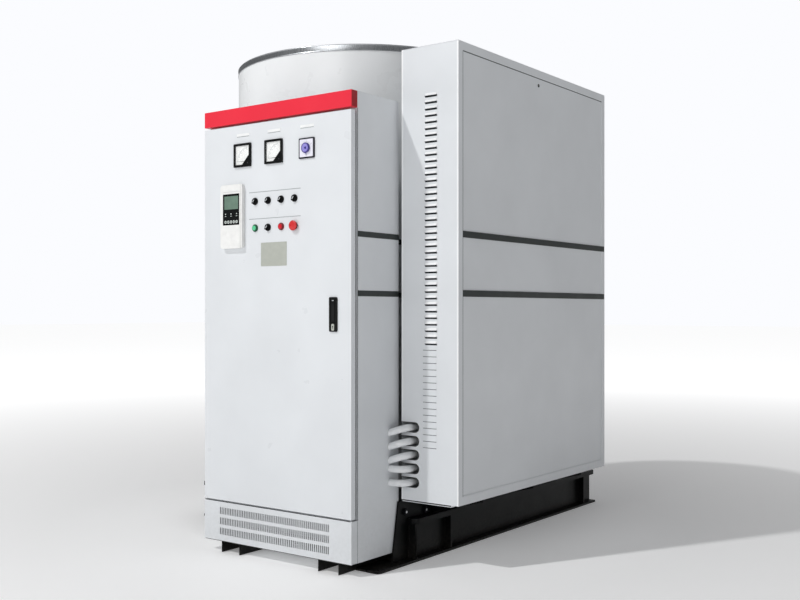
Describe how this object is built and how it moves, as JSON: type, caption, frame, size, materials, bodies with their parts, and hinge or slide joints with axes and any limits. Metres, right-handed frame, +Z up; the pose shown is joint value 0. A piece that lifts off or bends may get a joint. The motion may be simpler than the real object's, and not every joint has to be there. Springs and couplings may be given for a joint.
{
  "type": "electric water boiler",
  "caption": "Floor-standing electric hot water boiler: insulated round shell on a skid, tall louvred terminal box and hinged control cabinet with meters and switches.",
  "frame": {"origin": "on the floor, on the vertical axis of the round shell, at the centre of the four anchor holes", "axes": "+X towards the terminal box, +Y towards the water flanges at the rear, the control door faces -Y, +Z up"},
  "size_m": [1.6175, 1.974, 2.274],
  "materials": {
    "black_enamel": "black enamel, satin",
    "black_plastic": "moulded",
    "black_rubber": "matt",
    "boiler_plate": "primed plate",
    "brass": "machined",
    "brushed_steel": "brushed",
    "clear_glass": "clear",
    "dial_white": "printed dial",
    "green_plastic": "moulded",
    "grey_plastic": "moulded",
    "inlet_blue": "blue enamel",
    "label_grey": "bare plate",
    "light_paint": "light grey powder coat",
    "mineral_wool": "mineral wool",
    "outlet_red": "oxide red enamel",
    "polished_steel": "polished stainless steel",
    "red_paint": "red enamel",
    "red_plastic": "moulded",
    "screen_black": "gloss",
    "trim_dark": "dark grey enamel",
    "violet_plastic": "moulded",
    "white_plastic": "moulded",
    "zinc_plate": "zinc plated"
  },
  "bodies": {
    "boiler": {"skid_frame": "black_enamel", "deck_plate": "black_enamel", "upstand": "black_enamel", "skid_bolts": "zinc_plate", "vessel": "boiler_plate", "insulation": "mineral_wool", "jacket": "light_paint", "top_ring": "polished_steel", "top_cover": "brushed_steel", "safety_valve": "brass", "water_inlet": "inlet_blue", "water_outlet": "outlet_red", "drain_pipe": "brass", "heater_flanges": "boiler_plate", "heating_rods": "brushed_steel", "rod_terminals": "brass", "box_frame": "light_paint", "louvre_panel": "light_paint", "side_panel": "light_paint", "box_top": "light_paint", "rear_panel": "light_paint", "inner_panel": "light_paint", "slot_trims": "black_rubber", "conduits": "grey_plastic", "trim_strips": "trim_dark", "cabinet_body": "light_paint", "plinth_grille": "light_paint", "header": "red_paint", "cabinet_feet": "black_enamel", "mounting_plate": "zinc_plate", "breaker": "black_plastic", "contactors": "black_plastic", "terminal_rail": "grey_plastic", "cable_trunking": "grey_plastic", "hinges": "zinc_plate"},
    "door": {"door_panel": "light_paint", "door_gasket": "black_rubber", "door_leaves": "zinc_plate", "meter_cases": "black_plastic", "meter_dials": "dial_white", "meter_glasses": "clear_glass", "controller_case": "white_plastic", "controller_screen": "screen_black", "device_bezels": "black_plastic", "contact_blocks": "black_plastic", "label_plates": "label_grey", "lock_body": "black_plastic"},
    "drain_lever": {"drain_lever": "red_plastic"},
    "left_needle": {"left_needle": "black_plastic"},
    "right_needle": {"right_needle": "black_plastic"},
    "cam_knob": {"cam_knob": "violet_plastic"},
    "selector_knob_1": {"selector_knob_1": "black_plastic"},
    "selector_knob_2": {"selector_knob_2": "black_plastic"},
    "selector_knob_3": {"selector_knob_3": "black_plastic"},
    "selector_knob_4": {"selector_knob_4": "black_plastic"},
    "selector_knob_5": {"selector_knob_5": "black_plastic"},
    "green_button": {"green_button": "green_plastic"},
    "red_button": {"red_button": "red_plastic"},
    "mushroom_button": {"mushroom_button": "red_plastic"},
    "lock_lever": {"lock_lever": "black_plastic"}
  },
  "joints": [
    {"name": "door_swing", "type": "hinge", "parent": "boiler", "child": "door", "pos_m": [-0.169, -0.857, 0.99], "axis": [0, 0, -1], "range_deg": [0, 110]},
    {"name": "handle_lift", "type": "hinge", "parent": "door", "child": "lock_lever", "pos_m": [0.55, -0.881, 0.965], "axis": [1, 0, 0], "range_deg": [0, 40]},
    {"name": "left_needle_turn", "type": "hinge", "parent": "door", "child": "left_needle", "pos_m": [0.08996, -0.8822, 1.61504], "axis": [0, 1, 0], "range_deg": [0, 90], "stiffness_Nm_per_rad": 0.0002},
    {"name": "right_needle_turn", "type": "hinge", "parent": "door", "child": "right_needle", "pos_m": [0.26396, -0.8822, 1.61504], "axis": [0, 1, 0], "range_deg": [0, 90], "stiffness_Nm_per_rad": 0.0002},
    {"name": "cam_switch_turn", "type": "hinge", "parent": "door", "child": "cam_knob", "pos_m": [0.415, -0.889, 1.637], "axis": [0, 1, 0], "range_deg": [0, 270]},
    {"name": "selector_1_turn", "type": "hinge", "parent": "door", "child": "selector_knob_1", "pos_m": [0.135, -0.889, 1.447], "axis": [0, 1, 0], "range_deg": [-45, 45]},
    {"name": "selector_2_turn", "type": "hinge", "parent": "door", "child": "selector_knob_2", "pos_m": [0.2065, -0.889, 1.447], "axis": [0, 1, 0], "range_deg": [-45, 45]},
    {"name": "selector_3_turn", "type": "hinge", "parent": "door", "child": "selector_knob_3", "pos_m": [0.278, -0.889, 1.447], "axis": [0, 1, 0], "range_deg": [-45, 45]},
    {"name": "selector_4_turn", "type": "hinge", "parent": "door", "child": "selector_knob_4", "pos_m": [0.3495, -0.889, 1.447], "axis": [0, 1, 0], "range_deg": [-45, 45]},
    {"name": "selector_5_turn", "type": "hinge", "parent": "door", "child": "selector_knob_5", "pos_m": [0.2065, -0.889, 1.339], "axis": [0, 1, 0], "range_deg": [-45, 45]},
    {"name": "green_button_press", "type": "slide", "parent": "door", "child": "green_button", "axis": [0, 1, 0], "range_m": [0, 0.003], "stiffness_N_per_m": 500},
    {"name": "red_button_press", "type": "slide", "parent": "door", "child": "red_button", "axis": [0, 1, 0], "range_m": [0, 0.003], "stiffness_N_per_m": 500},
    {"name": "mushroom_button_press", "type": "slide", "parent": "door", "child": "mushroom_button", "axis": [0, 1, 0], "range_m": [0, 0.003], "stiffness_N_per_m": 500},
    {"name": "drain_lever_turn", "type": "hinge", "parent": "boiler", "child": "drain_lever", "pos_m": [0, 0.661, 0.49], "axis": [0, 0, -1], "range_deg": [0, 90]}
  ]
}
